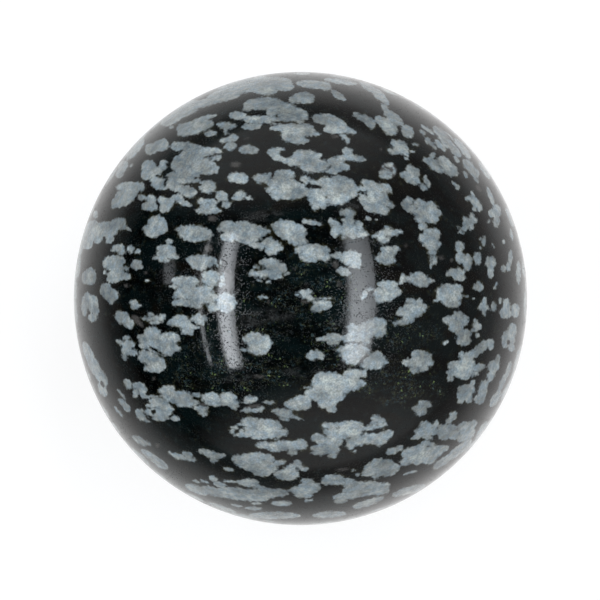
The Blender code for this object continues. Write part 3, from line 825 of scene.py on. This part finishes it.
def snowflake_obsidian():
    material = bpy.data.materials.new("snowflake_obsidian")
    material.use_nodes = True
    tree = material.node_tree
    nodes = Nodes(tree)
    shader = tree.nodes["Principled BSDF"]

    # Textures are laid out in millimetres, and some are drawn out along the flow of the lava.
    place = nodes.scaled(nodes.add("ShaderNodeTexCoord").outputs["Object"], 1000)
    along_flow = nodes.add("ShaderNodeMapping")
    along_flow.inputs["Scale"].default_value = FLOW_SQUEEZE
    nodes.put(place, along_flow.inputs["Vector"])
    streaked = along_flow.outputs["Vector"]

    # Small scallops and a finer raggedness turn the smooth ovals into grown edges.
    scallop_cells = nodes.cells(place, SCALLOPS_PER_MM)["Distance"]
    scallop = nodes.math("MULTIPLY_ADD", scallop_cells, -SCALLOP_MM, SCALLOP_MM / 2)
    ragged = nodes.noise(place, *RAGGED_TEXTURE)
    ragged = nodes.math("MULTIPLY_ADD", ragged, RAGGED_MM, -RAGGED_MM / 2)
    edge = nodes.math("ADD", nodes.attribute("flake_depth"), scallop)
    edge = nodes.math("ADD", edge, ragged)
    edge = nodes.math("SUBTRACT", edge, SHRUNK_MM)
    flake = nodes.ramp(edge, -SOFT_EDGE_MM, SOFT_EDGE_MM)

    # Glass: black, teal and brown by turns, with an olive fringe round some flakes.
    teal = nodes.ramp(nodes.noise(streaked, *TEAL_TEXTURE), *TEAL_BAND)
    glass = nodes.mix(teal, GLASS_BLACK, GLASS_TEAL)
    brown = nodes.ramp(nodes.noise(streaked, *BROWN_TEXTURE), *BROWN_BAND)
    glass = nodes.mix(brown, glass, GLASS_BROWN)
    fringe = nodes.ramp(nodes.noise(place, *FRINGE_TEXTURE), *FRINGE_BAND)
    fringe = nodes.math("MULTIPLY", nodes.ramp(edge, *FRINGE_DEPTH_BAND), fringe)
    glass = nodes.mix(fringe, glass, OLIVE_FRINGE)

    # Fine dust in the glass, olive or teal, faint all over and dense in the speckled patches.
    crowded = nodes.ramp(nodes.attribute("crowded_depth"), *CROWDED_BAND)
    crowd = nodes.ramp(nodes.noise(streaked, *CROWD_TEXTURE), *CROWD_BAND)
    patch = nodes.ramp(nodes.attribute("speckled_depth"), *PATCH_BAND)
    patch = nodes.math("MULTIPLY", patch, nodes.math("MAXIMUM", crowd, crowded))
    grain = nodes.noise(place, *GRAIN_TEXTURE)
    dust = nodes.ramp(nodes.math("MULTIPLY_ADD", patch, DENSER_IN_PATCH, grain), *DUST_BAND)
    dust = nodes.math("MULTIPLY", dust, nodes.ramp(patch, *DUST_IN_PATCH))
    mottled = nodes.ramp(nodes.noise(place, *MOTTLED_TEXTURE), *MOTTLED_BAND)
    dust = nodes.math("MAXIMUM", dust, mottled)
    dust_tone = nodes.ramp(nodes.noise(place, *DUST_TONE_TEXTURE), *DUST_TONE_BAND)
    glass = nodes.mix(dust, glass, nodes.mix(dust_tone, DUST_OLIVE, DUST_TEAL))

    # Sparser specks of olive and silver, each with its own size, strength and tone.
    warp = nodes.noise(place, *WARP_TEXTURE, output="Color")
    seeds = nodes.cells(nodes.vectors("MULTIPLY_ADD", warp, WARP_MM, place), SPECKS_PER_MM)
    chance = nodes.parts(seeds["Color"])
    size = nodes.ramp(chance["X"], *SPECK_SIZES)
    speck = nodes.ramp(nodes.math("SUBTRACT", size, seeds["Distance"]), *SPECK_EDGE)
    speck = nodes.math("MULTIPLY", speck, patch)
    strength = nodes.ramp(chance["Z"], *SPECK_STRENGTHS)
    strength = nodes.math("MAXIMUM", strength, nodes.math("MULTIPLY", crowded, CROWDED_STRENGTH))
    speck = nodes.math("MULTIPLY", speck, strength)
    olive = nodes.math("MAXIMUM", nodes.ramp(chance["Y"], *SPECK_TONE_BAND), crowded)
    glass = nodes.mix(speck, glass, nodes.mix(olive, SPECK_SILVER, SPECK_OLIVE))

    # Grey haze, and flakes that lie just under the surface and show dimly, without a crisp edge.
    hazy = nodes.ramp(nodes.attribute("hazy_depth"), *HAZE_DEPTH_BAND)
    hazy = nodes.math("MULTIPLY", hazy, nodes.ramp(nodes.noise(streaked, *HAZE_TEXTURE), *HAZE_BAND))
    hazy = nodes.math("MULTIPLY", hazy, nodes.ramp(grain, *HAZE_GRAIN_BAND))
    glass = nodes.mix(hazy, glass, HAZE_GREY)
    faint = nodes.math("ADD", nodes.attribute("faint_depth"), ragged)
    faint = nodes.math("MULTIPLY", nodes.ramp(faint, *FAINT_BAND), FAINT_SHARE)
    glass = nodes.mix(faint, glass, FAINT_GREY)

    # Flakes: blue grey and warm grey, each flake a little paler or darker, with mottling,
    # a fine grain and paler hearts.
    tint = nodes.ramp(nodes.noise(place, *TINT_TEXTURE), *TINT_BAND)
    body = nodes.mix(tint, FLAKE_BLUE_GREY, FLAKE_WARM_GREY)
    uneven = nodes.noise(place, *HEART_TEXTURE)
    uneven = nodes.math("MULTIPLY_ADD", uneven, HEART_UNEVENNESS_MM, -HEART_UNEVENNESS_MM / 2)
    heart = nodes.ramp(nodes.math("ADD", nodes.attribute("heart_depth"), uneven), *HEART_BAND)
    body = nodes.mix(nodes.math("MULTIPLY", heart, HEART_SHARE), body, FLAKE_PALE)
    for per_mm, detail, strength in FLAKE_TONES:
        texture = nodes.noise(place, per_mm, detail, FLAKE_TONE_ROUGHNESS)
        body = nodes.scaled(body, nodes.ramp(texture, *TONE_BAND, 1 - strength, 1 + strength))
    nodes.put(nodes.mix(flake, glass, body), shader.inputs["Base Color"])

    # The polish leaves the glass faintly wavy, with fine dull pits that break up a lamp's mirror image.
    pit = nodes.noise(place, *PIT_CROWD_TEXTURE)
    pit = nodes.math("MULTIPLY_ADD", pit, PIT_CROWDING, nodes.noise(place, *PIT_TEXTURE))
    dull = nodes.math("MULTIPLY", flake, FLAKE_ROUGHNESS)
    roughness = nodes.math("MAXIMUM", nodes.ramp(pit, *PIT_BAND), dull)
    nodes.put(roughness, shader.inputs["Roughness"])
    shader.inputs["IOR"].default_value = GLASS_IOR
    bump = nodes.add("ShaderNodeBump")
    bump.inputs["Strength"].default_value = 1.0
    bump.inputs["Distance"].default_value = WAVE_HEIGHT
    nodes.put(nodes.noise(place, *WAVE_TEXTURE), bump.inputs["Height"])
    nodes.put(bump.outputs["Normal"], shader.inputs["Normal"])
    return material


def add_stone():
    mesh = stone_mesh()
    mark_flakes(mesh)
    mesh.materials.append(snowflake_obsidian())
    stone = bpy.data.objects.new("snowflake_obsidian_sphere", mesh)
    bpy.context.scene.collection.objects.link(stone)
    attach(stone, "root")
    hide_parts("obsidian_sphere")


add_stone()


# The table
# A plain white sheet, so brightly lit that the photo shows it as bare white round the stone.
# The stone mirrors it as a painted pool of light, a glow that only reflections see, which fades
# with distance into a painted copy of the dim room beyond.
TABLE_SIZE = 6.0
TABLE_WHITE = (0.80, 0.80, 0.80, 1)
TABLE_SHADE = (0.24, 0.24, 0.24, 1)
TABLE_GLOW = (0.805, 0.805, 0.805, 1)
TABLE_ROUGHNESS = 0.9
BLACK = (0, 0, 0, 1)
# Painted glow that the stone mirrors: the middle and squeeze of the painted pool of light, and how far
# out the painted walls set in.
PAINTED_POOL_MIDDLE = (-0.002, 0.005, 0.0)
PAINTED_POOL_SQUEEZE = (1.0, 0.92, 1.0)
WALLS_FROM_TO = (0.13, 0.36)
# Each ring of the painted pool of light: how far from its middle it starts to fade, where it ends,
# and its brightness.
PAINTED_POOL_RINGS = [(0.030, 0.062, 0.30), (0.045, 0.112, 0.46), (0.070, 0.240, 0.14)]
MIRRORED_DARK = (0.010, 0.022, 0.024, 1)
MIRRORED_RIGHT = (0.145, 0.140, 0.140, 1)
MIRRORED_LEFT = (0.0, 0.0, 0.0, 1)
MIRRORED_WALLS = (0.55, 0.55, 0.55, 1)
WALL_WAY = (-0.17, 0.985, 0.0)
# Where each part of the mirrored room sets in and is full, by how far the way to it leans upward,
# to the right, to the left and to the walls.
LOW_BAND = (0.90, 0.45)
RIGHT_BAND = (-0.30, 0.50)
LEFT_BAND = (-0.60, -0.85)
WALL_BAND = (0.62, 0.95)


def mirrored_room_group():
    """The dim room that the stone mirrors: dark above and to the left, pale walls at top and bottom."""
    group = bpy.data.node_groups.new("mirrored_room", "ShaderNodeTree")
    group.interface.new_socket("Way", in_out="INPUT", socket_type="NodeSocketVector")
    group.interface.new_socket("Wall share", in_out="INPUT", socket_type="NodeSocketFloat")
    group.interface.new_socket("Colour", in_out="OUTPUT", socket_type="NodeSocketColor")
    nodes = Nodes(group)
    given = nodes.add("NodeGroupInput").outputs
    way = nodes.parts(given["Way"])
    low = nodes.ramp(way["Z"], *LOW_BAND)
    right = nodes.math("MULTIPLY", low, nodes.ramp(way["X"], *RIGHT_BAND))
    tone = nodes.mix(right, MIRRORED_DARK, MIRRORED_RIGHT)
    tone = nodes.mix(nodes.ramp(way["X"], *LEFT_BAND), tone, MIRRORED_LEFT)
    towards_wall = nodes.math("ABSOLUTE", nodes.vectors("DOT_PRODUCT", given["Way"], WALL_WAY))
    wall = nodes.math("MULTIPLY", nodes.ramp(towards_wall, *WALL_BAND), given["Wall share"])
    result = nodes.mix(wall, tone, MIRRORED_WALLS)
    nodes.put(result, nodes.add("NodeGroupOutput").inputs["Colour"])
    return group


MIRRORED_ROOM = mirrored_room_group()


def mirrored_room(nodes, way, wall_share):
    """Places the mirrored room in a material's or the world's nodes."""
    placed = nodes.add("ShaderNodeGroup", node_tree=MIRRORED_ROOM)
    nodes.put(way, placed.inputs["Way"])
    nodes.put(wall_share, placed.inputs["Wall share"])
    return placed.outputs["Colour"]


def white_table():
    material = bpy.data.materials.new("white_table")
    material.use_nodes = True
    tree = material.node_tree
    nodes = Nodes(tree)
    shader = tree.nodes["Principled BSDF"]
    path = nodes.add("ShaderNodeLightPath").outputs
    place = nodes.add("ShaderNodeTexCoord").outputs["Object"]
    # Painted reflection: to glossy rays the table is black and glows with a painted pool of light that
    # fades into a painted copy of the dim room.
    squeezed = nodes.vectors("MULTIPLY", place, PAINTED_POOL_SQUEEZE)
    distance = nodes.vectors("DISTANCE", squeezed, PAINTED_POOL_MIDDLE)
    wall_share = nodes.ramp(distance, *WALLS_FROM_TO)
    painted_glow = mirrored_room(nodes, nodes.vectors("NORMALIZE", place), wall_share)
    for fade_from, fade_to, brightness in PAINTED_POOL_RINGS:
        ring = nodes.ramp(distance, fade_from, fade_to, brightness, 0.0)
        painted_glow = nodes.vectors("ADD", painted_glow, ring)
    base = nodes.mix(path["Is Camera Ray"], TABLE_WHITE, TABLE_SHADE)
    nodes.put(nodes.mix(path["Is Glossy Ray"], base, BLACK), shader.inputs["Base Color"])
    painted_glow = nodes.mix(path["Is Glossy Ray"], BLACK, painted_glow)
    nodes.put(nodes.mix(path["Is Camera Ray"], painted_glow, TABLE_GLOW), shader.inputs["Emission Color"])
    shader.inputs["Roughness"].default_value = TABLE_ROUGHNESS
    shader.inputs["Specular IOR Level"].default_value = 0.0
    shader.inputs["Emission Strength"].default_value = 1.0
    return material


def add_table():
    mesh = bpy.data.meshes.new("table")
    half = TABLE_SIZE / 2
    corners = [(-half, -half, 0), (half, -half, 0), (half, half, 0), (-half, half, 0)]
    mesh.from_pydata(corners, [], [(0, 1, 2, 3)])
    mesh.materials.append(white_table())
    table = bpy.data.objects.new("table", mesh)
    bpy.context.scene.collection.objects.link(table)


add_table()


# The lamps
# Two LED panels beside the camera show in the stone as upright bars, with two dimmer ones further left.
# A wide soft lamp overhead, which the stone doesn't mirror, gives the table its faint shadow.
LAMP_DISTANCE = 0.40
LAMP_COLOUR = (0.94, 0.99, 1.05)
# Each bar: pixels across and down to the middle of its mirror image, the image's width and
# height in pixels, its lean in degrees, and its brightness. Then the share of that brightness
# left at its upper end and at its right edge.
BARS = {
    "left_bar": (227.6, 301, 18, 134, 1.5, 11.2, 0.66, 0.42),
    "right_bar": (357.0, 299, 30, 128, 0.0, 6.9, 0.50, 0.60),
    "thin_bar": (204.0, 302, 4, 128, 1.2, 4.2, 0.80, 0.80),
    "far_bar": (173.0, 272, 12, 24, 0.0, 2.2, 0.40, 0.80),
}
# Where a bar fades, in shares of its width and height.
LEFT_EDGE_BAND = (0.0, 0.30)
RIGHT_EDGE_BAND = (0.50, 1.0)
UPPER_END_BAND = (1.0, 0.4)
FOOT_BAND = (0.0, 0.05)
OVERHEAD_PLACE = stone_centre + Vector((0.24, 0.40, 0.95))
OVERHEAD_SIZE = 0.36
OVERHEAD_RADIANCE = 6.0


def mirrored_way(pixels_across, pixels_down):
    """Direction in which the stone's surface at that pixel mirrors the camera's ray."""
    across = (pixels_across - STONE_MIDDLE_ACROSS) / STONE_OUTLINE_RADIUS
    up = (STONE_MIDDLE_DOWN - pixels_down) / STONE_OUTLINE_RADIUS
    out = math.sqrt(1 - across**2 - up**2)
    normal = across * picture_right + up * picture_up + out * towards_camera
    return 2 * normal.dot(towards_camera) * normal - towards_camera


def add_area_lamp(name, place, long_way, width, height, radiance):
    """A flat lamp that faces the stone's middle, with its height along long_way."""
    lamp_data = bpy.data.lights.new(name, "AREA")
    lamp_data.shape = "RECTANGLE"
    lamp_data.color = LAMP_COLOUR
    lamp_data.size = width
    lamp_data.size_y = height
    # A one-sided flat lamp of power P and area A sends out P / (A pi) in each direction.
    lamp_data.energy = radiance * width * height * math.pi
    back = (place - stone_centre).normalized()
    side = long_way.cross(back).normalized()
    turned = Matrix((side, back.cross(side), back)).transposed()
    lamp = bpy.data.objects.new(name, lamp_data)
    lamp.matrix_world = Matrix.Translation(place) @ turned.to_4x4()
    lamp.visible_camera = False
    bpy.context.scene.collection.objects.link(lamp)
    return lamp


def soften_bar(lamp_data, upper_share, right_share):
    """Fades a bar at its left edge, and less towards its right edge and its upper end."""
    lamp_data.use_nodes = True
    nodes = Nodes(lamp_data.node_tree)
    emission = lamp_data.node_tree.nodes["Emission"]
    where = nodes.parts(nodes.add("ShaderNodeNewGeometry").outputs["Parametric"])
    rise = nodes.ramp(where["X"], *LEFT_EDGE_BAND)
    fall = nodes.ramp(where["X"], *RIGHT_EDGE_BAND, 1.0, right_share)
    along = nodes.ramp(where["Y"], *UPPER_END_BAND, upper_share, 1.0)
    foot = nodes.ramp(where["Y"], *FOOT_BAND)
    strength = nodes.math("MULTIPLY", nodes.math("MULTIPLY", rise, fall), along)
    nodes.put(nodes.math("MULTIPLY", strength, foot), emission.inputs["Strength"])


def add_bars():
    for name, bar in BARS.items():
        across, down, width, height, lean, radiance, upper_share, right_share = bar
        middle = mirrored_way(across, down)
        left = mirrored_way(across - width / 2, down)
        right = mirrored_way(across + width / 2, down)
        top = mirrored_way(across, down - height / 2)
        bottom = mirrored_way(across, down + height / 2)
        lamp_width = 2 * LAMP_DISTANCE * math.tan(left.angle(right) / 2)
        lamp_height = 2 * LAMP_DISTANCE * math.tan(top.angle(bottom) / 2)
        place = stone_centre + LAMP_DISTANCE * middle
        long_way = Matrix.Rotation(math.radians(lean), 3, middle) @ (top - bottom)
        lamp = add_area_lamp(name, place, long_way, lamp_width, lamp_height, radiance)
        soften_bar(lamp.data, upper_share, right_share)


def add_overhead_lamp():
    lamp = add_area_lamp(
        "overhead", OVERHEAD_PLACE, Vector((0, 1, 0)), OVERHEAD_SIZE, OVERHEAD_SIZE, OVERHEAD_RADIANCE
    )
    lamp.visible_glossy = False


add_bars()
add_overhead_lamp()


# The room
# A plain pale backdrop where the camera sees it, and an even white light for the flakes and table.
# The polished glass mirrors the same dim room as the table's painted glow beyond its painted pool of
# light.
BACKDROP = (1.0, 1.0, 1.0, 1)
SOFT_LIGHT = (0.40, 0.40, 0.40, 1)


def light_room():
    world = bpy.context.scene.world or bpy.data.worlds.new("room")
    bpy.context.scene.world = world
    world.use_nodes = True
    tree = world.node_tree
    tree.nodes.clear()
    nodes = Nodes(tree)
    path = nodes.add("ShaderNodeLightPath").outputs
    mirrored = mirrored_room(nodes, nodes.add("ShaderNodeTexCoord").outputs["Generated"], 1.0)
    light = nodes.mix(path["Is Glossy Ray"], SOFT_LIGHT, mirrored)
    light = nodes.mix(path["Is Camera Ray"], light, BACKDROP)
    background = nodes.add("ShaderNodeBackground")
    output = nodes.add("ShaderNodeOutputWorld")
    nodes.put(light, background.inputs["Color"])
    nodes.put(background.outputs["Background"], output.inputs["Surface"])


light_room()
bpy.context.scene.view_settings.view_transform = "Standard"
